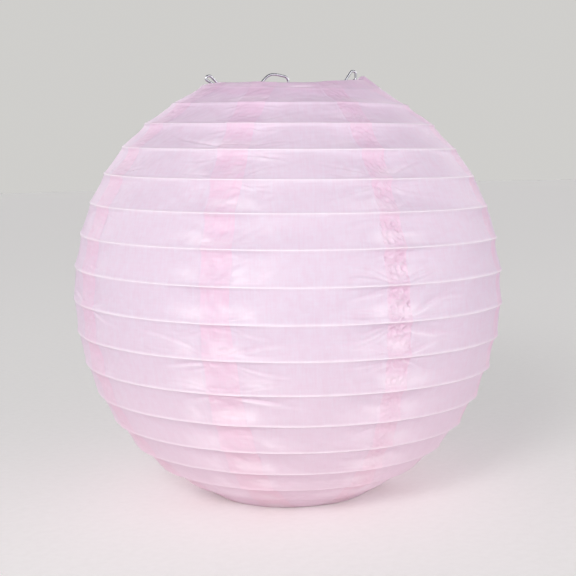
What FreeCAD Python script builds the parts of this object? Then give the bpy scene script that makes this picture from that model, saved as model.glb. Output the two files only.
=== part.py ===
import FreeCAD, Part
import Sketcher
import math
import os

# A collapsible paper lantern. Millimetres, +Z up. The origin is the centre of the base, on the plane
# that the bottom hem stands on. +X lies along the crossbar of the expander.

App = FreeCAD
Vector = App.Vector

START, END, CENTRE = 1, 2, 3      # point positions on a sketch's geometry
ORIGIN, X_AXIS = -1, -1           # a sketch's origin is the start point of its X axis

# ---------------------------------------------------------------- driving dimensions
SIZES = {
    "bulge_diameter": 200,        # inner face of the paper at its widest
    "ring_diameter": 73.4,        # centreline of each mouth hoop
    "ring_wire": 1.6,
    "ring_spacing": 188.8,        # centre plane to centre plane, unfolded
    "gore_count": 8,
    "first_seam_angle": 4.5,      # middle of the first gore's lap, from +X
    "gore_gap_angle": 0.15,       # between one gore's side edge and the next gore's
    "paper_thickness": 0.1,
    "lap_gap": 0.05,              # between a lap strip and the gore below it
    "lap_angle": 7,               # a gore's edge lies this far over the next gore
    "joggle_angle": 1,            # where the paper steps up from the lower to the upper layer
    "hem_clearance": 0.1,         # between the hem and the hoop inside it
    "rib_wire": 0.7,
    "rib_turns": 16.1,
    "rib_start_angle": 150,       # where the wire leaves the top hoop, from +X
    "rib_setback": 0.15,          # between the rib wire and the paper
    "rib_end_clearance": 2.2,     # from each hoop's centre to the rib wire's end, along the paper
    "expander_wire": 1.2,
    "expander_bend_radius": 1.5,  # centreline
    "expander_clearance": 0.3,    # between the expander and each hem
    "hump_slope_foot": 14.6,      # the hanging hump slopes up from here, left of the axis
    "hump_peak_place": 6.4,       # and peaks here, also left of the axis
    "hump_peak_rise": 5.8,        # above the top hoop, before the bend rounds it off
    "hump_peak_bend": 6,
    "hump_shoulder_place": 2.7,   # then it falls gently to a shoulder right of the axis
    "hump_shoulder_rise": 3.9,
    "hump_shoulder_bend": 2.5,
    "crossbar_drop": 2.4,         # centreline of the crossbar, below the top hoop
    "ear_rise": 5.6,              # centreline of an ear's top, above the top hoop
    "ear_lean": 1,                # the right ear is bent this much higher, and the left ear lower
    "ear_reach": 37.6,            # centreline of each ear's outer side, from the axis
    "ear_top_width": 2.2,
    "ear_foot": 28.6,             # where each ear's inner slope meets the crossbar
    "ear_return_rise": 2.9,       # where each ear's outer side turns back in over the hoop
    "notch_depth": 0.8,           # how far each notch goes in behind the leg's line
    "foot_length": 5,
    "foot_rise": 4.5,
}

RIB_STEPS_PER_TURN = 24


def make_sheet(doc):
    sheet = doc.addObject("Spreadsheet::Sheet", "Sizes")
    for row, (alias, value) in enumerate(SIZES.items(), start=1):
        sheet.set("A%d" % row, alias)
        sheet.set("B%d" % row, str(value))
        sheet.setAlias("B%d" % row, alias)
    doc.recompute()


# ---------------------------------------------------------------- expressions shared by the sub-parts
# The paper's profile is an arc through the bulge and both hoop centres. Its own centre lies beyond the
# axis, at profile_offset.
RING_RADIUS = "Sizes.ring_diameter / 2"
HALF_SPACING = "Sizes.ring_spacing / 2"
HEM_INNER = "(Sizes.ring_wire / 2 + Sizes.hem_clearance)"
HEM_OUTER = "(Sizes.ring_wire / 2 + Sizes.hem_clearance + Sizes.paper_thickness)"
BOTTOM_RING_HEIGHT = HEM_OUTER
TOP_RING_HEIGHT = "(%s + Sizes.ring_spacing)" % BOTTOM_RING_HEIGHT
BULGE_HEIGHT = "(%s + %s)" % (BOTTOM_RING_HEIGHT, HALF_SPACING)
BULGE_RADIUS = "Sizes.bulge_diameter / 2"
PROFILE_OFFSET = (
    "((Sizes.ring_spacing / 2) ^ 2 + (Sizes.ring_diameter / 2) ^ 2 - (Sizes.bulge_diameter / 2) ^ 2)"
    " / (Sizes.bulge_diameter - Sizes.ring_diameter)"
)
PROFILE_RADIUS = "(%s + %s)" % (BULGE_RADIUS, PROFILE_OFFSET)
UPPER_LAYER = "(Sizes.paper_thickness + Sizes.lap_gap)"


def number(doc, expression):
    """The value of an expression on the sheet."""
    value = doc.Sizes.evalExpression(expression)
    return float(getattr(value, "Value", value))


def origin_plane(body, role):
    return next(item for item in body.Origin.OriginFeatures if item.Role == role)


def new_body(doc, label):
    body = doc.addObject("PartDesign::Body", label)
    body.Label = label
    return body


def new_sketch(body, name, role="XZ_Plane"):
    sketch = body.newObject("Sketcher::SketchObject", name)
    sketch.AttachmentSupport = [(origin_plane(body, role), "")]
    sketch.MapMode = "FlatFace"
    return sketch


def constrain(sketch, name, expression, *arguments):
    """Adds a dimension to the sketch and binds it to the sheet."""
    start_value = number(sketch.Document, expression)
    index = sketch.addConstraint(Sketcher.Constraint(*arguments, start_value))
    sketch.renameConstraint(index, name)
    sketch.setExpression("Constraints." + name, expression)


# ---------------------------------------------------------------- paper gores
def profile_arc(sketch, name, offset, half_height):
    """An arc of the paper's profile, moved out by offset, from -half_height to +half_height."""
    doc = sketch.Document
    radius_expression = "%s + %s" % (PROFILE_RADIUS, offset)
    radius = number(doc, radius_expression)
    sweep = math.asin(number(doc, half_height) / radius)
    centre = Vector(-number(doc, PROFILE_OFFSET), 0, 0)
    circle = Part.Circle(centre, Vector(0, 0, 1), radius)
    arc = sketch.addGeometry(Part.ArcOfCircle(circle, -sweep, sweep))
    sketch.addConstraint(Sketcher.Constraint("PointOnObject", arc, CENTRE, X_AXIS))
    constrain(sketch, name + "_centre", PROFILE_OFFSET, "DistanceX", arc, CENTRE, ORIGIN, START)
    constrain(sketch, name + "_radius", radius_expression, "Radius", arc)
    constrain(sketch, name + "_low", half_height, "DistanceY", arc, START, ORIGIN, START)
    constrain(sketch, name + "_high", half_height, "DistanceY", ORIGIN, START, arc, END)
    return arc


def shell_sketch(body, name, inner_offset, outer_offset, half_height):
    """The section of one layer of paper: two concentric arcs joined by short level lines."""
    sketch = new_sketch(body, name)
    inner = profile_arc(sketch, "inner", inner_offset, half_height)
    outer = profile_arc(sketch, "outer", outer_offset, half_height)
    for corner in (START, END):
        ends = sketch.getPoint(inner, corner), sketch.getPoint(outer, corner)
        line = sketch.addGeometry(Part.LineSegment(*ends))
        sketch.addConstraint(Sketcher.Constraint("Coincident", line, START, inner, corner))
        sketch.addConstraint(Sketcher.Constraint("Coincident", line, END, outer, corner))
    return sketch


def hem_sketch(body, name, radius_expression):
    """A disc round each hoop's centre."""
    sketch = new_sketch(body, name)
    doc = body.Document
    for side, label in ((1, "top"), (-1, "bottom")):
        centre = Vector(number(doc, RING_RADIUS), side * number(doc, HALF_SPACING), 0)
        circle = Part.Circle(centre, Vector(0, 0, 1), number(doc, radius_expression))
        disc = sketch.addGeometry(circle)
        constrain(sketch, label + "_radius", radius_expression, "Radius", disc)
        constrain(sketch, label + "_out", RING_RADIUS, "DistanceX", ORIGIN, START, disc, CENTRE)
        ends = (ORIGIN, START, disc, CENTRE) if side > 0 else (disc, CENTRE, ORIGIN, START)
        constrain(sketch, label + "_height", HALF_SPACING, "DistanceY", *ends)
    return sketch


def revolve(body, kind, name, sketch, angle_expression, backwards):
    """Turns a sketch about the body's Z axis. backwards is towards the gore's own middle."""
    feature = body.newObject(kind, name)
    feature.Profile = sketch
    feature.ReferenceAxis = (sketch, ["V_Axis"])
    feature.Angle = number(body.Document, angle_expression)
    feature.setExpression("Angle", angle_expression)
    feature.Reversed = backwards
    sketch.Document.recompute()
    return feature


def make_gore(doc, index):
    """One gore. The body's own X axis is the seam where this gore steps up over the next one."""
    body = new_body(doc, "paper_gore_%d" % (index + 1))
    gore_angle = "360 / Sizes.gore_count - Sizes.gore_gap_angle"
    both_layers = "(%s + Sizes.paper_thickness)" % UPPER_LAYER
    lap_height = "%s - Sizes.ring_wire / 2" % HALF_SPACING
    main = shell_sketch(body, "main_section", "0", "Sizes.paper_thickness", HALF_SPACING)
    revolve(body, "PartDesign::Revolution", "main_sheet", main, gore_angle, True)
    step = shell_sketch(body, "step_section", "0", both_layers, lap_height)
    revolve(body, "PartDesign::Revolution", "step", step, "Sizes.joggle_angle", True)
    lap = shell_sketch(body, "lap_section", UPPER_LAYER, both_layers, lap_height)
    revolve(body, "PartDesign::Revolution", "lap_strip", lap, "Sizes.lap_angle", False)
    hem = hem_sketch(body, "hem_section", HEM_OUTER)
    revolve(body, "PartDesign::Revolution", "hems", hem, gore_angle, True)
    hollow = hem_sketch(body, "hoop_space_section", HEM_INNER)
    before = body.Shape.Volume
    revolve(body, "PartDesign::Groove", "hoop_space", hollow, gore_angle, True)
    if not body.Shape.Volume < before - 1:
        raise RuntimeError("the hoop space cut nothing from " + body.Label)
    seam_angle = index * 360 / number(doc, "Sizes.gore_count")
    seam_angle += number(doc, "Sizes.first_seam_angle - Sizes.lap_angle / 2")
    body.Placement = App.Placement(Vector(0, 0, 0), App.Rotation(Vector(0, 0, 1), seam_angle))
    body.setExpression("Placement.Base.z", BULGE_HEIGHT)
    return body


# ---------------------------------------------------------------- hoops
def make_hoop(doc, label, height_expression):
    hoop = doc.addObject("Part::Torus", label)
    hoop.Label = label
    hoop.setExpression("Radius1", RING_RADIUS)
    hoop.setExpression("Radius2", "Sizes.ring_wire / 2")
    hoop.setExpression("Placement.Base.z", height_expression)
    return hoop


# ---------------------------------------------------------------- rib wire
def make_rib_wire(doc):
    """One wire wound down the inside of the paper in short straight runs between mitred sections.

    Its latitude on the profile arc falls evenly with its turn, so the bands of paper are equally wide.
    The turns are counted from hoop to hoop, and the wire stops short of both.
    """
    wire_radius = number(doc, "Sizes.rib_wire / 2")
    arc_radius = number(doc, PROFILE_RADIUS) - wire_radius - number(doc, "Sizes.rib_setback")
    arc_offset = number(doc, PROFILE_OFFSET)
    ring_latitude = math.asin(number(doc, HALF_SPACING) / number(doc, PROFILE_RADIUS))
    end_latitude = ring_latitude - number(doc, "Sizes.rib_end_clearance") / arc_radius
    turns = number(doc, "Sizes.rib_turns")
    steps = round(turns * end_latitude / ring_latitude * RIB_STEPS_PER_TURN)
    start_angle = math.radians(number(doc, "Sizes.rib_start_angle"))

    def centre_at(step):
        latitude = end_latitude * (1 - 2 * step / steps)
        turn = start_angle + math.pi * turns * (1 - latitude / ring_latitude)
        radius = arc_radius * math.cos(latitude) - arc_offset
        return Vector(radius * math.cos(turn), radius * math.sin(turn), arc_radius * math.sin(latitude))

    centres = [centre_at(step) for step in range(steps + 1)]
    rims = []
    for step, centre in enumerate(centres):
        ahead = centres[min(step + 1, steps)] - centres[max(step - 1, 0)]
        rim = Part.Circle(Vector(), Vector(0, 0, 1), wire_radius).toShape()
        # every rim starts at its top, so that the runs between them have no twist
        rim.Placement = App.Placement(centre, App.Rotation(Vector(0, 0, 1), Vector(), ahead, "ZXY"))
        rims.append(rim)
    same_way_round = 1
    faces = [Part.makeRuledSurface(*pair, same_way_round) for pair in zip(rims, rims[1:])]
    faces += [Part.Face(Part.Wire(rim)) for rim in (rims[0], rims[-1])]
    shell = Part.Shell(faces)
    shell.sewShape()
    wire = doc.addObject("Part::Feature", "rib_wire")
    wire.Label = "rib_wire"
    wire.Shape = Part.Solid(shell)
    wire.Placement = App.Placement(Vector(0, 0, number(doc, BULGE_HEIGHT)), App.Rotation())
    length = sum((b - a).Length for a, b in zip(centres, centres[1:]))
    expected = math.pi * wire_radius ** 2 * length
    print("rib wire: length %.0f mm, volume %.1f of %.1f mm3" % (length, wire.Shape.Volume, expected))
    return wire


# ---------------------------------------------------------------- expander
def hump_corners():
    """The hanging hump, left to right: (side, distance from the axis, height, bend radius)."""
    crossbar = "%s - Sizes.crossbar_drop" % TOP_RING_HEIGHT
    peak = "%s + Sizes.hump_peak_rise" % TOP_RING_HEIGHT
    shoulder = "%s + Sizes.hump_shoulder_rise" % TOP_RING_HEIGHT
    bend = "Sizes.expander_bend_radius"
    return [
        (-1, "Sizes.hump_slope_foot", crossbar, bend),
        (-1, "Sizes.hump_peak_place", peak, "Sizes.hump_peak_bend"),
        (1, "Sizes.hump_shoulder_place", shoulder, "Sizes.hump_shoulder_bend"),
        (1, "Sizes.hump_shoulder_place", crossbar, bend),
    ]


def side_corners(side):
    """One ear, leg and foot, from the crossbar to the foot's tip, as in hump_corners.

    The leg stands just inside the hems, as it does with its two sides squeezed together.
    """
    top = TOP_RING_HEIGHT
    bend = "Sizes.expander_bend_radius"
    reach_in = "(%s - %s - Sizes.expander_clearance - Sizes.expander_wire / 2)" % (RING_RADIUS, HEM_OUTER)
    foot_height = "(%s + %s + Sizes.expander_clearance + Sizes.expander_wire / 2)" % (BOTTOM_RING_HEIGHT, HEM_OUTER)
    crossbar = "%s - Sizes.crossbar_drop" % top
    ear_top = "%s + Sizes.ear_rise + %d * Sizes.ear_lean" % (top, side)
    notch = "%s - Sizes.notch_depth" % reach_in
    return [
        (side, "Sizes.ear_foot", crossbar, bend),
        (side, "Sizes.ear_reach - Sizes.ear_top_width", ear_top, "Sizes.expander_wire"),
        (side, "Sizes.ear_reach", ear_top, "Sizes.expander_wire"),
        (side, "Sizes.ear_reach", "%s + Sizes.ear_return_rise" % top, "Sizes.expander_wire * 0.6"),
        (side, notch, "%s + Sizes.notch_depth" % top, bend),
        (side, reach_in, "%s - 3 * Sizes.expander_bend_radius" % top, "8 * Sizes.expander_bend_radius"),
        (side, reach_in, foot_height, bend),
        (side, "%s - Sizes.foot_length" % reach_in, foot_height, bend),
        (side, "%s - Sizes.foot_length" % reach_in, "%s + Sizes.foot_rise" % foot_height, None),
    ]


def tangent_points(before, corner, after, radius):
    """Where a bend of this radius leaves its two runs, and its centre."""
    inward = (before - corner).normalize()
    onward = (after - corner).normalize()
    half_angle = inward.getAngle(onward) / 2
    reach = radius / math.tan(half_angle)
    towards_centre = (inward + onward).normalize()
    return corner + inward * reach, corner + onward * reach, corner + towards_centre * (radius / math.sin(half_angle))


def bend_arc(start, end, centre, radius):
    """The short arc from start to end, which Sketcher stores anticlockwise, and whether it was turned round."""
    flipped = (start - centre).cross(end - centre).z < 0
    first, last = (end, start) if flipped else (start, end)
    circle = Part.Circle(centre, Vector(0, 0, 1), radius)
    return Part.ArcOfCircle(circle, circle.parameter(first), circle.parameter(last)), flipped


def bent_wire_sketch(body, name, corners):
    """An open path of straight runs and tangent bends, each corner placed by the sheet.

    corners are (side, x expression, y expression, radius expression), side being -1 left of the axis.
    """
    doc = body.Document
    sketch = new_sketch(body, name)
    places = [Vector(side * number(doc, x), number(doc, y), 0) for side, x, y, _ in corners]
    bends = [
        tangent_points(*places[i - 1:i + 2], number(doc, corners[i][3])) for i in range(1, len(corners) - 1)
    ]
    starts = [places[0]] + [bend[1] for bend in bends]
    ends = [bend[0] for bend in bends] + [places[-1]]
    runs = [sketch.addGeometry(Part.LineSegment(a, b)) for a, b in zip(starts, ends)]
    for index, (start, end, centre) in enumerate(bends):
        radius_expression = corners[index + 1][3]
        arc_shape, flipped = bend_arc(start, end, centre, number(doc, radius_expression))
        arc = sketch.addGeometry(arc_shape)
        arc_start, arc_end = (END, START) if flipped else (START, END)
        sketch.addConstraint(Sketcher.Constraint("Tangent", runs[index], END, arc, arc_start))
        sketch.addConstraint(Sketcher.Constraint("Tangent", runs[index + 1], START, arc, arc_end))
        constrain(sketch, "bend_%d" % index, radius_expression, "Radius", arc)
        corner = sketch.addGeometry(Part.Point(places[index + 1]), True)
        sketch.addConstraint(Sketcher.Constraint("PointOnObject", corner, START, runs[index]))
        sketch.addConstraint(Sketcher.Constraint("PointOnObject", corner, START, runs[index + 1]))
        place_point(sketch, "corner_%d" % index, corner, START, corners[index + 1])
    place_point(sketch, "first", runs[0], START, corners[0])
    place_point(sketch, "last", runs[-1], END, corners[-1])
    return sketch


def place_point(sketch, name, geometry, position, corner):
    side, x_expression, y_expression, _ = corner
    ends = (ORIGIN, START, geometry, position) if side > 0 else (geometry, position, ORIGIN, START)
    constrain(sketch, name + "_x", x_expression, "DistanceX", *ends)
    constrain(sketch, name + "_y", y_expression, "DistanceY", ORIGIN, START, geometry, position)


def make_expander(doc):
    body = new_body(doc, "expander")
    left = side_corners(-1)[::-1]
    path = bent_wire_sketch(body, "expander_path", left + hump_corners() + side_corners(1))
    section = new_sketch(body, "wire_section", "XY_Plane")
    tip_side, tip_x, tip_height, _ = left[0]
    tip = Vector(tip_side * number(doc, tip_x), 0, 0)
    disc = section.addGeometry(Part.Circle(tip, Vector(0, 0, 1), number(doc, "Sizes.expander_wire / 2")))
    constrain(section, "wire_radius", "Sizes.expander_wire / 2", "Radius", disc)
    constrain(section, "wire_place", tip_x, "DistanceX", disc, CENTRE, ORIGIN, START)
    section.addConstraint(Sketcher.Constraint("PointOnObject", disc, CENTRE, X_AXIS))
    section.setExpression("AttachmentOffset.Base.z", tip_height)
    doc.recompute()
    pipe = body.newObject("PartDesign::AdditivePipe", "bent_wire")
    pipe.Profile = section
    pipe.Spine = (path, ["Edge%d" % (index + 1) for index in range(len(path.Shape.Edges))])
    doc.recompute()
    expected = math.pi * (number(doc, "Sizes.expander_wire") / 2) ** 2 * path.Shape.Length
    print("expander: length %.0f mm, volume %.1f of %.1f mm3" % (path.Shape.Length, body.Shape.Volume, expected))
    return body


# ---------------------------------------------------------------- document and export
def check(doc, parts):
    failed = [item.Label for item in doc.Objects if "Invalid" in item.State or "Error" in item.State]
    for part in parts:
        shape = part.Shape
        if shape.isNull() or not shape.isValid() or len(shape.Solids) != 1:
            failed.append(part.Label)
        print("%-14s volume %9.2f mm3  box %s" % (part.Label, shape.Volume, shape.BoundBox))
    if failed:
        raise RuntimeError("failed: " + ", ".join(failed))


def main():
    doc = App.newDocument("paper_lantern")
    make_sheet(doc)
    parts = [make_gore(doc, index) for index in range(int(SIZES["gore_count"]))]
    parts.append(make_rib_wire(doc))
    parts.append(make_hoop(doc, "bottom_ring", BOTTOM_RING_HEIGHT))
    parts.append(make_hoop(doc, "top_ring", TOP_RING_HEIGHT))
    parts.append(make_expander(doc))
    doc.recompute()
    check(doc, parts)
    os.makedirs("parts", exist_ok=True)
    for part in parts:
        part.Shape.exportStep("parts/%s.step" % part.Label)


main()
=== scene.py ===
import math
from collections import namedtuple

import bmesh
import bpy
import numpy as np
from mathutils import Matrix, Vector


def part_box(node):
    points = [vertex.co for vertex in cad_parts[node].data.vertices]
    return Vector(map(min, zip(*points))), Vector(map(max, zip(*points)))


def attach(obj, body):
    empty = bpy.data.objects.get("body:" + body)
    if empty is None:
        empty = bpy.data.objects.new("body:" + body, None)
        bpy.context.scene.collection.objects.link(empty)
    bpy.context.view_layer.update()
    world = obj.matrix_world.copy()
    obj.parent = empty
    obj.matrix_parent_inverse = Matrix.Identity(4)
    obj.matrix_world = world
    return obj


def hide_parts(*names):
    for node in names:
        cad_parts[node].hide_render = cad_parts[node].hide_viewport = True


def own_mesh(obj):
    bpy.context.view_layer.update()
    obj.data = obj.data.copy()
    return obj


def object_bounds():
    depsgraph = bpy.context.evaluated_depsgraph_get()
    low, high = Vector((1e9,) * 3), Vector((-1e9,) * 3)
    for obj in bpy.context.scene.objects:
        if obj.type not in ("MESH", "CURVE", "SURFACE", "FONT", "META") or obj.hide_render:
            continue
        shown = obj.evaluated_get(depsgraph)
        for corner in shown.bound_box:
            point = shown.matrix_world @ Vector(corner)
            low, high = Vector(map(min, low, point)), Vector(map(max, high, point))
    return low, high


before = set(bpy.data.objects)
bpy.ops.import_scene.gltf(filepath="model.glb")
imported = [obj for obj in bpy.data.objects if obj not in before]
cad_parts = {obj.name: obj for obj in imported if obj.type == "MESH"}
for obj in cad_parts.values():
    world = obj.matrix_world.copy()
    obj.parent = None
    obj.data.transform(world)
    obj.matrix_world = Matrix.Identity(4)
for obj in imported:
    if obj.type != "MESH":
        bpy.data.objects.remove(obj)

# A round paper lantern: eight gores of pink tissue, pasted over a helical wire and folded round two hoops.
# Lengths are metres and angles are radians from +X, anticlockwise from above. A place on the paper is an
# angle and a turn, which counts the rib wire's turns down from the top hoop.

cad_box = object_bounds()
MM = 0.001
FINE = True


# ---------------------------------------------------------------- sizes, from the frame
def ring_facts(node):
    """Height of a hoop's centre, its centreline radius and its wire's radius."""
    low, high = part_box(node)
    wire = (high[2] - low[2]) / 2
    return (high[2] + low[2]) / 2, (high[0] - low[0]) / 2 - wire, wire


TOP_Z, RING_R, RING_WIRE = ring_facts("top_ring")
BOTTOM_Z = ring_facts("bottom_ring")[0]
BULGE_Z = (TOP_Z + BOTTOM_Z) / 2
HALF_SPACING = (TOP_Z - BOTTOM_Z) / 2
LAP_STANDS_OUT = 0.25 * MM                     # of the CAD's lap strips, over the paper's inner face
BULGE_R = (cad_box[1][0] - cad_box[0][0]) / 2 - LAP_STANDS_OUT
PROFILE_OFFSET = (HALF_SPACING ** 2 + RING_R ** 2 - BULGE_R ** 2) / (2 * (BULGE_R - RING_R))
PROFILE_R = BULGE_R + PROFILE_OFFSET           # the paper's profile is an arc whose centre is past the axis
RING_LATITUDE = math.asin(HALF_SPACING / PROFILE_R)
MERIDIAN = 2 * RING_LATITUDE * PROFILE_R

GORES = 8
GORE_ANGLE = 2 * math.pi / GORES
FIRST_SEAM = math.radians(1)                   # left edge of the first lap strip
LAP_ANGLE = math.radians(7)                    # a lap strip's usual width, seen from the axis
TURNS = 16.1                                   # of the rib wire, hoop to hoop
RIB_START = math.radians(150)
PITCH = MERIDIAN / TURNS
RIB_WIRE = 0.35 * MM                           # radius
RIB_DEPTH = 0.5 * MM                           # the rib wire's centreline, inside the paper's nominal face
RIB_END_GAP = 2.2 * MM                         # from a hoop to the rib wire's end, down the paper

# ---------------------------------------------------------------- how the paper lies
HEM_REACH = RING_WIRE + 0.15 * MM              # the paper's distance from a hoop's centre, drawn tight
HEM_LOOSENESS = 0.15 * MM                      # and how much farther it stands, on the whole
HOOP_BOW = 1.3 * MM                            # the top hoop sags this far between the expander's two ears
TENT_ANGLE = math.radians(-21)                 # where the top hem stands up off the hoop in a small peak
TENT_SPREAD = math.radians(7)
TENT_RISE = 2.4 * MM
SLACK_ANGLE = math.radians(-52)                # and where it is merely slack
SLACK_SPREAD = math.radians(28)
SLACK_RISE = 0.8 * MM
HEM_EASE = 5 * MM                              # how far from a hoop the paper comes down to the wire
TENT_EASE = 9 * MM                             # and how much farther where it is tented
TENT_EASE_SPREAD = math.radians(20)
FLAP = 7.5 * MM                                # of a hem's paper, turned back inside the shade
LAP_WIDTHS = [w * MM for w in (12, 13.5, 11, 12.5, 15, 13.6, 10.5, 11.5)]      # cut by hand, seam by seam
LAP_LIFT = 0.16 * MM                           # of the upper layer of paper over the lower one
MOULD_FLATTENING = 0.002                       # how far the turns draw straight between the seams
FULLNESS = 1.6 * MM                            # how far the shoulders stand out past the CAD's plain arc
FIRST_TURN_DROP = 0.3 * MM                     # the wire's first and last turns lie deeper, by the hems
RIDGE = 0.24 * MM                              # the wire's mark in the paper
RIDGE_WIDTH = 0.55 * MM
SAG = 0.42 * MM                                # of each band of paper, a third of the way down it
SEAM_SAG = 1.2 * MM                            # more beside the seams, where the lap holds the paper in
SEAM_SAG_REACH = 13 * MM
SEAM_PULLS = (0.7, 0.6, 0.8, 0.6, 0.35, 1, 1, 0.35)     # each seam's share of that
CRUMPLED_SEAM = 6
CRUMPLE_WAVELENGTH = 2.2 * MM                  # of the lap strips' paper, crumpled by paste
CRUMPLE = 0.1 * MM
WORST_CRUMPLE = 0.42 * MM                      # added on the crumpled seam, most at this turn
WORST_TURN = 7.4
WORST_REACH = 2.4                              # turns
# the worst puckers, where a seam crosses a turn of the wire: (seam, turn) and how bad
BAD_PUCKERS = {(5, 3): 1.5, (5, 8): 1.1, (5, 9): 2.0, (5, 10): 1.7, (6, 4): 1.2, (6, 7): 1.3, (6, 8): 2.1,
               (6, 9): 1.4, (1, 9): 1.7, (2, 6): 1.5, (3, 10): 1.4, (0, 7): 1.3, (7, 5): 1.4, (4, 8): 1.3}

# ---------------------------------------------------------------- how finely it is meshed
COLUMNS = 165 if FINE else 110                 # across a gore
BAND_ROWS = 31 if FINE else 20                 # from one turn of the wire to the next
HEM_COLUMNS = 80 if FINE else 40               # along each gore's share of a hem
WRAP_ROWS = 18                                 # round the hoop
FLAP_ROWS = 12                                 # along the flap inside it
RIB_STEPS = 110 if FINE else 60                # in each turn of the wire


# ---------------------------------------------------------------- places on the shade
def smooth(t):
    """An even rise from 0 to 1 as t goes from 0 to 1."""
    t = np.clip(t, 0, 1)
    return t * t * (3 - 2 * t)


def gauss(distance, width):
    return np.exp(-(distance / width) ** 2)


def dip(share):
    """The hollow of a band of paper: steep under the turn above it, easy down to the turn below."""
    return share ** 0.65 * (1 - share) ** 1.25 / 0.295


def turned(angle):
    """An angle brought between minus and plus half a turn."""
    return (angle + math.pi) % (2 * math.pi) - math.pi


def near_angle(angle, centre, spread):
    return gauss(turned(angle - centre), spread)


def waves(seed, points, wavelength, count=9):
    """A smooth random field of about unit height over points in space, as a sum of plane waves."""
    rng = np.random.default_rng(seed)
    total = np.zeros(points.shape[:-1])
    for _ in range(count):
        heading = rng.normal(size=3)
        heading *= 2 * math.pi / (wavelength * rng.uniform(0.7, 1.5) * np.linalg.norm(heading))
        total += np.cos(points @ heading + rng.uniform(0, 2 * math.pi))
    return total / math.sqrt(count / 2)


def seam_left(index):
    """The angle of the left edge of a seam's lap strip."""
    return FIRST_SEAM + index * GORE_ANGLE


def latitude_of(turn):
    return RING_LATITUDE * (1 - 2 * turn / TURNS)


def local_radius(turn):
    return PROFILE_R * np.cos(latitude_of(turn)) - PROFILE_OFFSET


def from_hoop(turn):
    """Distance along the paper to the nearer hoop."""
    return np.minimum(turn, TURNS - turn) * PITCH


def from_seam(angle, turn, seam):
    """Distance round the shade from the left edge of a seam's lap strip."""
    return turned(angle - seam_left(seam)) * local_radius(turn)


def mould_factor(angle, latitude):
    """Slightly under 1 between the seams, because the wire is wound over eight mould boards."""
    lap_middle = FIRST_SEAM + LAP_ANGLE / 2
    off_middle = (angle - lap_middle) % GORE_ANGLE - GORE_ANGLE / 2
    corner = math.cos(GORE_ANGLE / 2)
    flat = (1 - corner / np.cos(off_middle)) / (1 - corner)
    return 1 - MOULD_FLATTENING * flat * (1 - (latitude / RING_LATITUDE) ** 4)


def hoop_bow(angle):
    """Height of the top hoop against its own plane: up at the ears, down between them."""
    return -HOOP_BOW * np.sin(angle) ** 2


def on_barrel(angle, turn, outward):
    """A point of the paper's profile, moved outward. The first turn follows the bowed top hoop."""
    latitude = latitude_of(turn)
    reach = PROFILE_R + outward
    shoulder = FULLNESS * np.sin(math.pi * (latitude / RING_LATITUDE) ** 2)
    radius = (reach * np.cos(latitude) - PROFILE_OFFSET + shoulder) * mould_factor(angle, latitude)
    height = BULGE_Z + reach * np.sin(latitude) + hoop_bow(angle) * np.clip(1 - turn, 0, 1)
    return np.stack([radius * np.cos(angle), radius * np.sin(angle), height], axis=-1)


def outward_normal(angle, turn):
    latitude = latitude_of(turn)
    level = np.cos(latitude)
    return np.stack([level * np.cos(angle), level * np.sin(angle), np.sin(latitude)], axis=-1)


def hem_reach(angle, top):
    """How far the paper is from a hoop's centre: loose here and there, and up in a small tent."""
    wander = 0.1 * np.sin(5 * angle + 1) + 0.07 * np.sin(13 * angle) + 0.05 * np.sin(31 * angle + 2)
    reach = HEM_REACH + HEM_LOOSENESS + wander * MM
    if not top:
        return reach
    tent = near_angle(angle, TENT_ANGLE, TENT_SPREAD)
    slack = near_angle(angle, SLACK_ANGLE, SLACK_SPREAD)
    return reach + TENT_RISE * tent + SLACK_RISE * slack


def paper_offset(angle, turn):
    """How far the paper stands off its nominal face over the wire: inside it, but out over each hoop."""
    upper_half = turn < TURNS / 2
    reach = np.where(upper_half, hem_reach(angle, True), hem_reach(angle, False))
    ease = HEM_EASE + TENT_EASE * near_angle(angle, TENT_ANGLE, TENT_EASE_SPREAD) * upper_half
    return -RIDGE + (reach + RIDGE) * (1 - smooth(from_hoop(turn) / ease))


def lap_width(seam, turn):
    """A lap strip's width along its length: cut by hand, so a little uneven and a little tapered."""
    wander = 0.05 * np.sin(turn * 0.9 + seam * 2.1) + 0.03 * np.sin(turn * 2.3 + seam)
    taper = 0.14 * np.cos(1.25 * (seam % GORES)) * (2 * turn / TURNS - 1)
    return LAP_WIDTHS[seam % GORES] * (1 + wander + taper)


# ---------------------------------------------------------------- creases
# A fold runs out from start, its distance from the seam's left edge, to one side or the other. Its level is
# its distance down the paper from the top hoop, and slope and bow shape its path.
Fold = namedtuple("Fold", "seam side start level slope bow length size width")


def fan_fold(rng, seam, side, level, badness):
    """One fold of a fan that runs out from where a seam crosses a turn of the wire."""
    half = rng.choice([-1, 1])
    start = (0 if side < 0 else LAP_WIDTHS[seam]) - side * rng.uniform(0, 4) * MM
    slope = half * rng.uniform(0.04, 0.5)
    length = rng.uniform(7, 21) * MM * badness ** 0.8
    size = rng.uniform(0.15, 0.55) * MM * badness
    width = rng.uniform(0.3, 0.6) * MM * badness ** 0.4
    beginning = level + half * rng.uniform(0.6, 2.8) * MM
    return Fold(seam, side, start, beginning, slope, rng.normal(0, 0.04), length, size, width)


def strip_crease(rng, seam, level, badness):
    """One short crease across a lap strip, above or below a turn of the wire."""
    crumpled = seam == CRUMPLED_SEAM
    start = rng.uniform(-0.1, 0.7) * LAP_WIDTHS[seam]
    beginning = level + rng.triangular(-7, 1.5, 7) * MM
    slope = rng.normal(0, 0.9 if crumpled else 0.16)
    length = (rng.uniform(2, 7) if crumpled else rng.uniform(4, 12)) * MM
    size = rng.uniform(0.25, 0.6) * MM * badness
    width = rng.uniform(0.3, 0.6) * MM
    return Fold(seam, 1, start, beginning, slope, rng.normal(0, 0.04), length, size, width)


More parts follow.
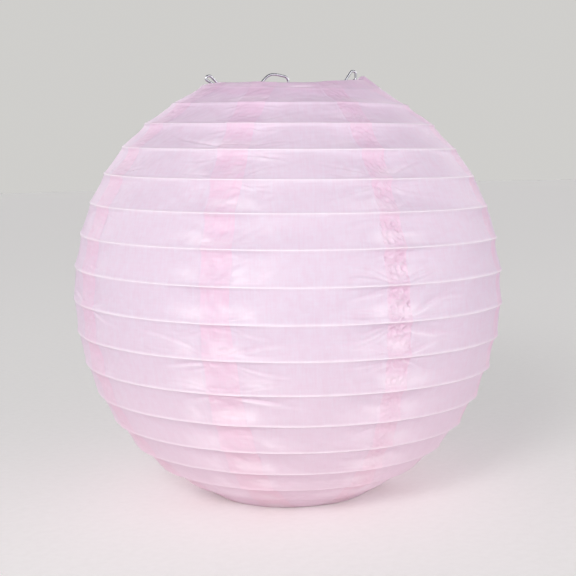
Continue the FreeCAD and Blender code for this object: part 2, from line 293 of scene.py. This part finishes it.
def make_folds():
    """Every fold that fans out from the seams, and every crease across their lap strips."""
    rng = np.random.default_rng(23)
    folds = []
    for seam in range(GORES):
        first_turn = (seam_left(seam) - RIB_START) / (2 * math.pi) % 1
        creases = 22 if seam == CRUMPLED_SEAM else 6
        for count in range(1, int(TURNS)):
            level = (first_turn + count) * PITCH
            badness = BAD_PUCKERS.get((seam, count), rng.uniform(0.25, 0.85))
            for side in (-1, 1):
                folds += [fan_fold(rng, seam, side, level, badness) for _ in range(rng.integers(6, 10))]
            folds += [strip_crease(rng, seam, level, badness) for _ in range(creases)]
    return folds


FOLDS = make_folds()


def fold_field(seam, arc, down):
    """Displacement from one seam's folds: each is a sharp valley with a softer ridge below it."""
    total = np.zeros_like(arc)
    for fold in FOLDS:
        if fold.seam != seam % GORES:
            continue
        along = (arc - fold.start) * fold.side
        near = (along > 0) & (along < fold.length) & (np.abs(down - fold.level) < 0.6 * fold.length + 5 * MM)
        if not near.any():
            continue
        share = along[near] / fold.length
        path = fold.slope * along[near] * (1 - 0.35 * share) + fold.bow * fold.length * np.sin(3 * share)
        across = (down[near] - fold.level - path) / fold.width
        taper = np.minimum(1, 5 * share) * (1 - share) ** 0.7
        valley = np.exp(-np.sqrt(across ** 2 + 0.04))
        ridge = np.exp(-np.sqrt((across - 1.9) ** 2 + 0.15))
        total[near] += fold.size * taper * (0.75 * ridge - valley)
    return total


def strip_field(seam, arc, turn, points):
    """The crumple that paste leaves in a lap strip, drawn out across it. One seam's is worst halfway down."""
    inside = smooth(arc / MM + 0.5) * smooth((lap_width(seam, turn) - arc) / MM + 0.5)
    crumpled = seam % GORES == CRUMPLED_SEAM
    drawn_out = points * ((0.5, 0.5, 1) if crumpled else (0.2, 0.2, 1))
    crumple = 0.3 - np.abs(waves(seam % GORES + 80, drawn_out, CRUMPLE_WAVELENGTH, 14))
    worst = WORST_CRUMPLE * gauss(turn - WORST_TURN, WORST_REACH) if crumpled else 0
    return inside * (CRUMPLE + worst) * crumple


def band_of(angle, turn):
    """The turns of wire above and below each point, and its share of the way down between them."""
    phase = (angle - RIB_START) / (2 * math.pi)
    band = np.floor(turn - phase + 1e-9)
    upper = np.clip(band + phase, 0, TURNS)
    lower = np.clip(band + 1 + phase, 0, TURNS)
    return upper, lower, np.clip((turn - upper) / np.maximum(lower - upper, 1e-6), 0, 1)


def wire_ridge(upper, lower, share):
    """1 where the paper lies over a turn of the wire, falling to 0 beside it."""
    width = (lower - upper) * PITCH
    above = gauss(share * width, RIDGE_WIDTH) * (upper > 0)
    below = gauss((1 - share) * width, RIDGE_WIDTH) * (lower < TURNS)
    return np.maximum(above, below)


def seam_effects(angle, turn, seam, straight):
    """Displacement by the folds of the two seams beside a gore, and how strongly those seams pull it in."""
    folds = np.zeros_like(turn)
    pull = np.zeros_like(turn)
    for index in (seam, seam + 1):
        arc = from_seam(angle, turn, index)
        folds += fold_field(index, arc, turn * PITCH) + strip_field(index, arc, turn, straight)
        outside = np.maximum(-arc, arc - lap_width(index, turn))
        pull += SEAM_PULLS[index % GORES] * gauss(np.maximum(outside, 0), SEAM_SAG_REACH)
    return folds, pull


def full_sag(straight, turn, pull):
    """How far the paper would sag at the deepest place of a full band."""
    seam_sag = SEAM_SAG * pull * smooth(from_hoop(turn) / (30 * MM))
    sag = SAG * (1 + 0.4 * waves(7, straight, 55 * MM)) + seam_sag * (1 + 0.4 * waves(8, straight, 35 * MM))
    return np.maximum(sag, 0)


def painted_highlights(straight, turn, share, ridge, folds, pull):
    """How much whiter the paper is painted: rubbed and painted highlight on the wire, painted highlights on
    fold crests, painted sheen by a seam.
    """
    whitened = smooth((from_hoop(turn) - 10 * MM) / (45 * MM))
    # painted highlights along the crests of folds
    crest_highlights = 0.7 * np.clip(folds / (0.3 * MM), 0, 1)
    lower_half = smooth((share - 0.4) / 0.25) * (1 - smooth((share - 0.8) / 0.2))
    # a painted sheen low in each band beside a seam, where the sagging paper faces up to the light
    painted_sheen = 0.55 * pull * lower_half * np.clip(0.5 + 0.5 * waves(9, straight, 15 * MM), 0, 1)
    # the wire's line is whitened both as rubbed paper and as a painted highlight, less near the hoops
    return np.maximum(np.maximum(ridge * (0.1 + 0.8 * whitened), crest_highlights), painted_sheen)


def paper_points(angle, turn, seam, lift):
    """The paper of the gore between this seam and the next, with its rubbing and painted highlights, and its
    fold valleys for painted shade.

    The paper runs straight down from one turn of the wire to the next, and all else is measured from that.
    """
    upper, lower, share = band_of(angle, turn)
    start = on_barrel(angle, upper, paper_offset(angle, upper))
    end = on_barrel(angle, lower, paper_offset(angle, lower))
    straight = start + (end - start) * share[..., None]
    between_turns = 4 * share * (1 - share)
    folds, pull = seam_effects(angle, turn, seam, straight)
    folds *= between_turns ** 0.6
    ridge = wire_ridge(upper, lower, share)
    pressed = smooth((from_hoop(turn) - 10 * MM) / (20 * MM))
    sag = full_sag(straight, turn, pull) * dip(share) * (lower - upper) ** 2 * (1 - ridge)
    broad = 0.15 * MM * waves(5, straight, 22 * MM) * between_turns
    fine = (0.03 + 0.04 * pull) * MM * waves(6, straight, 3.6 * MM, 14) * (0.3 + 0.7 * between_turns)
    out = RIDGE * ridge * (0.1 + 0.9 * pressed) - sag + broad + fine + folds + lift
    points = straight + outward_normal(angle, turn) * out[..., None]
    # how deep each point lies in a fold's valley, which gets painted shade
    valley_shade = np.clip(-folds / (0.45 * MM), 0, 1)
    return points, painted_highlights(straight, turn, share, ridge, folds, pull), valley_shade


# ---------------------------------------------------------------- meshes
UV_STEP = 0.13                                 # metres, so that no two gores show the same paper
HEM_UV_LENGTH = 9 * MM
VALLEY_SHADE_SHARE = 0.28                        # painted shade in a fold's valley: its tint, as a share of a second layer's
LOWEST = 0.02 * MM                             # of the bottom hem, over the floor


def rows_of_turns(angle):
    """Turn counts for the rows of a gore's mesh, whose rows run along the wire and crowd in beside it."""
    spread = np.linspace(0, 1, BAND_ROWS + 1)[:-1]
    spread = spread - 0.5 * np.sin(2 * math.pi * spread) / (2 * math.pi)
    rows = (np.arange(-2, math.ceil(TURNS) + 2)[:, None] + spread).reshape(-1, 1)
    phase = (angle - RIB_START) / (2 * math.pi)
    return np.clip(rows + phase - math.floor(phase.min()), 0, TURNS)


def grid_mesh(name, points, uv, attributes):
    """A mesh from a grid of points, leaving out the faces that have no area."""
    rows, columns = points.shape[:2]
    index = np.arange(rows * columns).reshape(rows, columns)
    quads = np.stack([index[:-1, :-1], index[:-1, 1:], index[1:, 1:], index[1:, :-1]], -1).reshape(-1, 4)
    flat = points.reshape(-1, 3)
    diagonal = np.cross(flat[quads[:, 2]] - flat[quads[:, 0]], flat[quads[:, 3]] - flat[quads[:, 1]])
    quads = quads[np.linalg.norm(diagonal, axis=1) > 1e-11]
    used, renumbered = np.unique(quads, return_inverse=True)
    mesh = bpy.data.meshes.new(name)
    mesh.from_pydata(flat[used].tolist(), [], renumbered.reshape(-1, 4).tolist())
    loops = np.empty(len(mesh.loops), dtype=np.int32)
    mesh.loops.foreach_get("vertex_index", loops)
    uv_layer = mesh.uv_layers.new(name="UVMap")
    uv_layer.data.foreach_set("uv", uv.reshape(-1, 2)[used][loops].astype(np.float32).ravel())
    for key, values in attributes.items():
        layer = mesh.attributes.new(key, "FLOAT", "POINT")
        spread = np.broadcast_to(values, (rows, columns)).reshape(-1)
        layer.data.foreach_set("value", spread[used].astype(np.float32))
    work = bmesh.new()
    work.from_mesh(mesh)
    bmesh.ops.remove_doubles(work, verts=work.verts, dist=2e-6)
    bmesh.ops.dissolve_degenerate(work, edges=work.edges, dist=1e-6)
    work.to_mesh(mesh)
    work.free()
    return finish_piece(name, mesh)


def finish_piece(name, mesh):
    """A smooth-shaded object from a mesh, in the scene."""
    mesh.polygons.foreach_set("use_smooth", np.ones(len(mesh.polygons), dtype=bool))
    mesh.update()
    piece = bpy.data.objects.new(name, mesh)
    bpy.context.collection.objects.link(piece)
    return piece


def layers_and_band_light(angle, turn, seam):
    """1 where two layers of paper are pasted together, on a lap strip, and less in the lower half of each
    band.

    So a strip is painted paler low in each band, a painted highlight, and pinker high in it, painted shade.
    The turned-under hems count as part of a second layer.
    """
    share = band_of(angle, turn)[2]
    # the lower half of each band, painted paler on a strip as a painted highlight
    lit_lower_half = smooth((share - 0.3) / 0.4 + 0.25 * np.sin(19 * turn + 60 * angle))
    strip = smooth(from_seam(angle, turn, seam + 1) / (0.5 * MM) + 0.5) * (1 - 0.32 * lit_lower_half)
    hem_edge = (6.5 + 1.6 * np.sin(7 * angle) + 0.9 * np.sin(23 * angle + 1)) * MM
    hem = 0.55 * smooth((hem_edge - from_hoop(turn)) / (2.5 * MM) + 0.5)
    return np.maximum(strip, hem)


def column_spread():
    """Columns across a gore, closer together beside its two seams."""
    place = np.linspace(0, 1, 400)
    density = 1 + 1.6 * gauss(place - 0.24, 0.12) + 2.2 * gauss(place - 0.93, 0.17)
    total = np.concatenate([[0], np.cumsum((density[1:] + density[:-1]) / 2)])
    return np.interp(np.linspace(0, 1, COLUMNS), total / total[-1], place)


def cut_edge(seam, rows):
    """How far a gore's cut edge strays from its line, row by row: a slow random walk kept near the line."""
    rng = np.random.default_rng(40 + seam)
    walk = np.cumsum(rng.normal(size=rows)) * 0.04 * MM
    return walk - np.convolve(np.pad(walk, 25, mode="edge"), np.ones(51) / 51, "valid")


def make_gore(seam):
    """One gore, from under its left neighbour's lap strip to its own cut edge on its right neighbour."""
    left = seam_left(seam)
    right = seam_left(seam + 1)
    share = column_spread()
    turn = rows_of_turns(left + share * (right - left))
    lap_angle = (lap_width(seam + 1, turn) + cut_edge(seam, turn.shape[0])[:, None]) / local_radius(turn)
    angle = left + share * (right + lap_angle - left)
    turn = rows_of_turns(angle)
    lift = LAP_LIFT * smooth((angle - right) * local_radius(turn) / MM + 1)
    points, rub_and_highlight, valley_shade = paper_points(angle, turn, seam, lift)
    # second layers of paper, with painted shade added in the valleys of folds
    double_and_shade = layers_and_band_light(angle, turn, seam) + VALLEY_SHADE_SHARE * valley_shade
    uv = np.stack([(angle - (left + right) / 2) * local_radius(turn) + seam * UV_STEP, turn * PITCH], -1)
    return grid_mesh("gore_sheet_%d" % (seam + 1), points, uv, {"rub_and_highlight": rub_and_highlight, "double_and_shade": double_and_shade})


def hem_section(angle, top, lift, seam):
    """Paper folded over a hoop: distance from the axis, and height over the hoop's plane.

    The rows run out of the shade's face, round the wire and back along the inside.
    """
    wrap = np.linspace(0, 1, WRAP_ROWS)[:, None]
    turned_over = RING_LATITUDE + math.pi * wrap
    loose = hem_reach(angle, top) - HEM_REACH
    reach = HEM_REACH + lift + loose * (1 - smooth(wrap)) + 0.08 * MM * np.sin(47 * angle + 9 * wrap) * wrap
    along = np.linspace(0, 1, FLAP_ROWS + 1)[1:, None]
    length = FLAP * (1 + 0.2 * np.sin(7 * angle) + 0.07 * np.sin(53 * angle + seam))
    wave = 0.15 * MM * np.sin(19 * angle + 4 * along) * along
    radius = np.concatenate([
        RING_R + reach * np.cos(turned_over),
        RING_R - (HEM_REACH + wave) * math.cos(RING_LATITUDE) + along * length * math.sin(RING_LATITUDE),
    ])
    height = np.concatenate([
        reach * np.sin(turned_over),
        -(HEM_REACH + wave) * math.sin(RING_LATITUDE) - along * length * math.cos(RING_LATITUDE),
    ])
    return radius, height


def make_hem(name, top):
    """The paper folded over one hoop, in eight shares that lap as the gores do, all above the floor."""
    turn = 0 if top else TURNS
    up = 1 if top else -1
    parts = []
    for seam in range(GORES):
        right = seam_left(seam + 1)
        lap_angle = lap_width(seam + 1, turn) / RING_R
        angle = np.linspace(seam_left(seam), right + lap_angle, HEM_COLUMNS)[None, :]
        lift = LAP_LIFT * smooth((angle - right) * RING_R / MM + 1)
        radius, height = hem_section(angle, top, lift, seam)
        level = TOP_Z + hoop_bow(angle) if top else BOTTOM_Z
        height = np.maximum(level + up * height, LOWEST)
        points = np.stack([radius * np.cos(angle), radius * np.sin(angle), height], -1)
        down = np.linspace(0, HEM_UV_LENGTH, points.shape[0])[:, None]
        uv = np.stack(np.broadcast_arrays(angle * RING_R + seam * UV_STEP, down), -1)
        if not top:
            points, uv = points[::-1], uv[::-1]
        parts.append(grid_mesh("%s_%d" % (name, seam), points, uv, {"rub_and_highlight": 0.0, "double_and_shade": 0.55}))
    return join(name, parts)


def join(name, parts):
    """One object made of the parts."""
    bpy.ops.object.select_all(action="DESELECT")
    for part in parts:
        part.select_set(True)
    bpy.context.view_layer.objects.active = parts[0]
    bpy.ops.object.join()
    parts[0].name = name
    parts[0].data.name = name
    return parts[0]


def tube(name, centres, radius, sides, closed=False):
    """A round tube along a row of points, with flat ends unless it is closed into a ring."""
    if closed:
        ahead = np.roll(centres, -1, axis=0) - np.roll(centres, 1, axis=0)
    else:
        ahead = np.gradient(centres, axis=0)
    ahead /= np.linalg.norm(ahead, axis=1)[:, None]
    across = np.cross(ahead, [0, 0, 1.0])
    across /= np.linalg.norm(across, axis=1)[:, None]
    over = np.cross(across, ahead)
    around = np.linspace(0, 2 * math.pi, sides, endpoint=False)[None, :, None]
    rings = centres[:, None] + radius * (np.cos(around) * across[:, None] + np.sin(around) * over[:, None])
    index = np.arange(len(centres) * sides).reshape(-1, sides)
    if closed:
        index = np.concatenate([index, index[:1]])
    beside = np.roll(index, -1, axis=1)
    faces = np.stack([index[:-1], beside[:-1], beside[1:], index[1:]], -1).reshape(-1, 4).tolist()
    if not closed:
        faces += [index[0, ::-1].tolist(), index[-1].tolist()]
    mesh = bpy.data.meshes.new(name)
    mesh.from_pydata(rings.reshape(-1, 3).tolist(), [], faces)
    return finish_piece(name, mesh)


def make_rib_wire():
    """The helix, a little deeper under the paper in its first and last turns."""
    gap = RIB_END_GAP / PITCH
    turn = np.linspace(gap, TURNS - gap, int(TURNS * RIB_STEPS))
    depth = RIB_DEPTH + FIRST_TURN_DROP * (1 - smooth(np.minimum(turn, TURNS - turn) - 0.6))
    return tube("rib_helix", on_barrel(RIB_START + 2 * math.pi * turn, turn, -depth), RIB_WIRE, 8)


def make_bowed_hoop():
    angle = np.linspace(0, 2 * math.pi, 180, endpoint=False)
    centres = np.stack([RING_R * np.cos(angle), RING_R * np.sin(angle), TOP_Z + hoop_bow(angle)], -1)
    return tube("bowed_hoop", centres, RING_WIRE, 14, closed=True)


# ---------------------------------------------------------------- materials
def new_material(name):
    material = bpy.data.materials.new(name)
    material.use_nodes = True
    material.node_tree.nodes.clear()
    return material, material.node_tree


def attribute(tree, name, share):
    """A value stored on the mesh, times share."""
    stored = tree.nodes.new("ShaderNodeAttribute")
    stored.attribute_name = name
    return arithmetic(tree, "MULTIPLY", stored.outputs["Fac"], share)


def arithmetic(tree, operation, first, second):
    """A sum, a product or the like, of numbers or sockets."""
    made = tree.nodes.new("ShaderNodeMath")
    made.operation = operation
    for value, socket in ((first, made.inputs[0]), (second, made.inputs[1])):
        if isinstance(value, (int, float)):
            socket.default_value = value
        else:
            tree.links.new(value, socket)
    return made.outputs[0]


def ramp(tree, source, low, high, low_colour, high_colour):
    """One colour up to the place low, and another from the place high."""
    made = tree.nodes.new("ShaderNodeValToRGB")
    for element, place, colour in zip(made.color_ramp.elements, (low, high), (low_colour, high_colour)):
        element.position = place
        element.color = (*colour, 1)
    tree.links.new(source, made.inputs["Fac"])
    return made.outputs["Color"]


def noise(tree, source, scale, stretch=(1, 1, 1), detail=4.0, roughness=0.6):
    """Noise at a scale of features per metre, drawn out along an axis whose stretch is small."""
    mapping = tree.nodes.new("ShaderNodeMapping")
    mapping.inputs["Scale"].default_value = stretch
    tree.links.new(source, mapping.inputs["Vector"])
    made = tree.nodes.new("ShaderNodeTexNoise")
    made.inputs["Scale"].default_value = scale
    made.inputs["Detail"].default_value = detail
    made.inputs["Roughness"].default_value = roughness
    tree.links.new(mapping.outputs["Vector"], made.inputs["Vector"])
    return made.outputs["Fac"]


def fade(tree, source, start, end, at_start, at_end):
    """A number that goes from one value to another between two places."""
    return ramp(tree, source, start, end, (at_start,) * 3, (at_end,) * 3)


def mix_colour(tree, factor, first, second):
    made = tree.nodes.new("ShaderNodeMix")
    made.data_type = "RGBA"
    for value, socket in ((factor, made.inputs[0]), (first, made.inputs[6]), (second, made.inputs[7])):
        if isinstance(value, (int, float)):
            socket.default_value = value
        elif isinstance(value, tuple):
            socket.default_value = (*value, 1)
        else:
            tree.links.new(value, socket)
    return made.outputs[2]


def add_bump(tree, surface, height, strength, distance):
    bump = tree.nodes.new("ShaderNodeBump")
    bump.inputs["Strength"].default_value = strength
    bump.inputs["Distance"].default_value = distance
    tree.links.new(height, bump.inputs["Height"])
    tree.links.new(bump.outputs["Normal"], surface.inputs["Normal"])
    return bump.outputs["Normal"]


def add_output(tree, shader):
    output = tree.nodes.new("ShaderNodeOutputMaterial")
    tree.links.new(shader, output.inputs["Surface"])


# the tissue's tints, each from thin to thick places; then painted shade towards the top mouth
# and painted bounce light, pinker, towards the bottom
ONE_LAYER = (0.89, 0.81, 0.925)
ONE_LAYER_THICK = (0.875, 0.735, 0.86)
TWO_LAYERS = (0.95, 0.78, 0.9)
TWO_LAYERS_THICK = (0.945, 0.7, 0.845)
# white for rubbed paper and for painted highlights
RUB_AND_HIGHLIGHT_WHITE = (0.98, 0.88, 0.96)
PAINTED_SHADE_TOP = (0.9, 0.705, 0.885)
PAINTED_BOUNCE_BOTTOM = (1.0, 0.8, 0.86)
# steel wire: its duller and brighter places, then its roughness where smoothest and where roughest
RIB_STEEL = ((0.8, 0.79, 0.78), (0.9, 0.89, 0.88), 0.3, 0.45)
HOOP_STEEL = ((0.55, 0.54, 0.53), (0.7, 0.69, 0.68), 0.25, 0.45)
EXPANDER_STEEL = ((0.42, 0.42, 0.46), (0.6, 0.6, 0.64), 0.14, 0.26)
FLOOR_DARK = (0.945, 0.93, 0.915)
FLOOR_LIGHT = (0.975, 0.96, 0.945)


def paper_texture(tree, uv):
    """The tissue's fine grain of fibres, and the softer cloudiness that shows when light is behind it."""
    fibres = noise(tree, uv, 1100, (1, 0.1, 1), 6, 0.7)
    cross_fibres = noise(tree, uv, 1000, (0.12, 1, 1), 5, 0.65)
    cloud = noise(tree, uv, 300, (1, 0.7, 1), 3)
    return arithmetic(tree, "ADD", fibres, arithmetic(tree, "MULTIPLY", cross_fibres, 0.6)), cloud


def paper_tint(tree, uv, grain, cloud):
    """The tissue's colour, by its layers and its thick and thin places, with painted shade near the top and
    painted bounce light near the bottom.
    """
    blotch = noise(tree, uv, 55, (1, 1, 1), 2)
    soft = arithmetic(tree, "MULTIPLY", cloud, 0.33)
    texture = arithmetic(tree, "ADD", arithmetic(tree, "MULTIPLY", grain, 0.42), soft)
    single = ramp(tree, texture, 0.4, 0.6, ONE_LAYER_THICK, ONE_LAYER)
    double_and_shade = ramp(tree, texture, 0.4, 0.6, TWO_LAYERS_THICK, TWO_LAYERS)
    # towards the two-layer tint where the paper is doubled, and as painted shade in fold valleys and high in
    # strip bands
    tint = mix_colour(tree, attribute(tree, "double_and_shade", 0.85), single, double_and_shade)
    tint = mix_colour(tree, arithmetic(tree, "MULTIPLY", blotch, 0.16), tint, ONE_LAYER_THICK)
    split = tree.nodes.new("ShaderNodeSeparateXYZ")
    tree.links.new(uv, split.inputs[0])
    down = split.outputs["Y"]
    # painted shade, darker and mauve, near the top mouth
    tint = mix_colour(tree, fade(tree, down, 0.0, 0.05, 0.45, 0), tint, PAINTED_SHADE_TOP)
    # painted bounce light, pinker, over the lower part of the shade
    return mix_colour(tree, fade(tree, down, 0.12, 0.22, 0, 0.65), tint, PAINTED_BOUNCE_BOTTOM)


def paper_material():
    """Thin pink tissue, which lets up to two fifths of the light through, and less where it is rubbed and
    painted with highlights.
    """
    material, tree = new_material("pink_tissue")
    place = tree.nodes.new("ShaderNodeUVMap")
    place.uv_map = "UVMap"
    uv = place.outputs["UV"]
    grain, cloud = paper_texture(tree, uv)
    tint = paper_tint(tree, uv, grain, cloud)
    # whiter where the paper is rubbed and where highlights are painted
    face = mix_colour(tree, attribute(tree, "rub_and_highlight", 0.48), tint, RUB_AND_HIGHLIGHT_WHITE)
    surface = tree.nodes.new("ShaderNodeBsdfPrincipled")
    surface.inputs["Specular IOR Level"].default_value = 0.6
    surface.inputs["Sheen Weight"].default_value = 0.06
    tree.links.new(face, surface.inputs["Base Color"])
    tree.links.new(fade(tree, cloud, 0.3, 0.7, 0.34, 0.5), surface.inputs["Roughness"])
    normal = add_bump(tree, surface, arithmetic(tree, "ADD", grain, cloud), 0.3, 0.1 * MM)
    through = tree.nodes.new("ShaderNodeBsdfTranslucent")
    tree.links.new(tint, through.inputs["Color"])
    tree.links.new(normal, through.inputs["Normal"])
    mixed = tree.nodes.new("ShaderNodeMixShader")
    tree.links.new(arithmetic(tree, "SUBTRACT", 0.4, attribute(tree, "rub_and_highlight", 0.28)), mixed.inputs["Fac"])
    tree.links.new(surface.outputs["BSDF"], mixed.inputs[1])
    tree.links.new(through.outputs["BSDF"], mixed.inputs[2])
    add_output(tree, mixed.outputs["Shader"])
    return material


def steel_material(name, low, high, smoothest, roughest):
    """Drawn steel wire: fine draw marks and faint staining over bright metal."""
    material, tree = new_material(name)
    place = tree.nodes.new("ShaderNodeTexCoord").outputs["Object"]
    stain = noise(tree, place, 220, detail=3)
    scratches = noise(tree, place, 2600, detail=5)
    surface = tree.nodes.new("ShaderNodeBsdfPrincipled")
    surface.inputs["Metallic"].default_value = 1.0
    tree.links.new(ramp(tree, stain, 0.35, 0.65, low, high), surface.inputs["Base Color"])
    tree.links.new(fade(tree, scratches, 0.3, 0.7, smoothest, roughest), surface.inputs["Roughness"])
    add_bump(tree, surface, scratches, 0.15, 0.02 * MM)
    add_output(tree, surface.outputs["BSDF"])
    return material


def floor_material():
    """A pale matt floor with a faint grain."""
    material, tree = new_material("pale_floor")
    grain = noise(tree, tree.nodes.new("ShaderNodeTexCoord").outputs["Object"], 260, detail=5)
    surface = tree.nodes.new("ShaderNodeBsdfPrincipled")
    tree.links.new(ramp(tree, grain, 0.35, 0.65, FLOOR_DARK, FLOOR_LIGHT), surface.inputs["Base Color"])
    surface.inputs["Roughness"].default_value = 0.8
    add_output(tree, surface.outputs["BSDF"])
    return material


def paint(piece, material):
    piece.data.materials.clear()
    piece.data.materials.append(material)


# ---------------------------------------------------------------- camera, lights and floor
CAMERA_AZIMUTH = -23                           # degrees, as direction takes them
CAMERA_ELEVATION = 6.76
CAMERA_DISTANCE = 0.5897                       # from the middle of the shade
CAMERA_ROLL = math.radians(-1.43)
CAMERA_LENS = 78.04                            # mm, over a sensor 36 mm wide


def direction(azimuth, elevation):
    """Towards a place seen at this azimuth from -Y, anticlockwise, and this elevation, both in degrees."""
    azimuth, elevation = math.radians(azimuth), math.radians(elevation)
    level = math.cos(elevation)
    return Vector((math.sin(azimuth) * level, -math.cos(azimuth) * level, math.sin(elevation)))


def make_camera():
    back = direction(CAMERA_AZIMUTH, CAMERA_ELEVATION)
    level_right = Vector((0, 0, 1)).cross(back).normalized()
    level_up = back.cross(level_right)
    right = level_right * math.cos(CAMERA_ROLL) + level_up * math.sin(CAMERA_ROLL)
    turn = Matrix((right, back.cross(right), back)).transposed().to_4x4()
    camera = bpy.data.objects.new("camera", bpy.data.cameras.new("camera"))
    camera.data.sensor_width = 36
    camera.data.lens = CAMERA_LENS
    camera.matrix_world = Matrix.Translation(Vector((0, 0, BULGE_Z)) + back * CAMERA_DISTANCE) @ turn
    bpy.context.collection.objects.link(camera)
    bpy.context.scene.camera = camera


def area_light(name, azimuth, elevation, distance, size, power, colour):
    """A round lamp that faces the middle of the shade."""
    back = direction(azimuth, elevation)
    data = bpy.data.lights.new(name, "AREA")
    data.shape = "DISK"
    data.size = size
    data.energy = power
    data.color = colour
    light = bpy.data.objects.new(name, data)
    light.location = Vector((0, 0, BULGE_Z)) + back * distance
    light.rotation_mode = "QUATERNION"
    light.rotation_quaternion = back.to_track_quat("Z", "Y")
    bpy.context.collection.objects.link(light)


SKY_STRENGTH = 2.46
# the sky's colour by height, from level at 0 to overhead at 1
SKY = ((0.13, (0.255, 0.252, 0.245)), (0.19, (1, 0.99, 0.98)), (0.37, (1, 0.99, 0.98)),
       (0.46, (0.14, 0.14, 0.145)), (0.85, (0.09, 0.09, 0.095)))


def make_studio():
    """A sky that is brightest in a low band all round, as light from windows is, and two soft lamps."""
    world = bpy.data.worlds.new("studio")
    world.use_nodes = True
    tree = world.node_tree
    background = tree.nodes["Background"]
    background.inputs["Strength"].default_value = SKY_STRENGTH
    height = tree.nodes.new("ShaderNodeSeparateXYZ")
    tree.links.new(tree.nodes.new("ShaderNodeTexCoord").outputs["Generated"], height.inputs[0])
    sky = tree.nodes.new("ShaderNodeValToRGB")
    for _ in SKY[2:]:
        sky.color_ramp.elements.new(0.5)
    for element, (place, colour) in zip(sky.color_ramp.elements, SKY):
        element.position = place
        element.color = (*colour, 1)
    tree.links.new(height.outputs["Z"], sky.inputs["Fac"])
    tree.links.new(sky.outputs["Color"], background.inputs["Color"])
    bpy.context.scene.world = world
    area_light("key", azimuth=-42, elevation=26, distance=1.1, size=0.35, power=4.0, colour=(1.0, 0.99, 0.98))
    area_light("fill", azimuth=25, elevation=5, distance=1.3, size=1.0, power=2.3, colour=(0.98, 0.98, 1.0))
    bpy.context.scene.view_settings.view_transform = "Standard"


FLOOR_REACH = 4.0                              # radius
FLOOR_SEGMENTS = 96


def make_floor():
    around = np.linspace(0, 2 * math.pi, FLOOR_SEGMENTS + 1)
    points = np.array([[(r * math.cos(a), r * math.sin(a), 0) for a in around] for r in (0, FLOOR_REACH)])
    floor = grid_mesh("floor", points, points[..., :2], {})
    paint(floor, floor_material())


def fold_with_shade(piece):
    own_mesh(piece)


def add_paper():
    tissue = paper_material()
    for seam in range(GORES):
        gore = make_gore(seam)
        paint(gore, tissue)
        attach(gore, "shade")
        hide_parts("paper_gore_%d" % (seam + 1))
        fold_with_shade(gore)
    for name, top, body, hoop in (("top_hem", True, "top_hoop", "bowed_hoop"),
                                  ("bottom_hem", False, "shade", "bottom_ring")):
        hem = make_hem(name, top)
        paint(hem, tissue)
        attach(hem, body)


def add_wires():
    rib = make_rib_wire()
    paint(rib, steel_material("rib_steel", *RIB_STEEL))
    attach(rib, "shade")
    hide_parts("rib_wire")
    fold_with_shade(rib)
    hoop_steel = steel_material("hoop_steel", *HOOP_STEEL)
    hoop = make_bowed_hoop()
    paint(hoop, hoop_steel)
    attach(hoop, "top_hoop")
    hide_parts("top_ring")
    bright_steel = steel_material("expander_steel", *EXPANDER_STEEL)
    for name, steel in (("bottom_ring", hoop_steel), ("expander", bright_steel)):
        for material_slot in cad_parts[name].material_slots:
            material_slot.material = steel


def write_sizes():
    bpy.context.view_layer.update()


make_camera()
make_studio()
make_floor()
add_wires()
add_paper()
write_sizes()
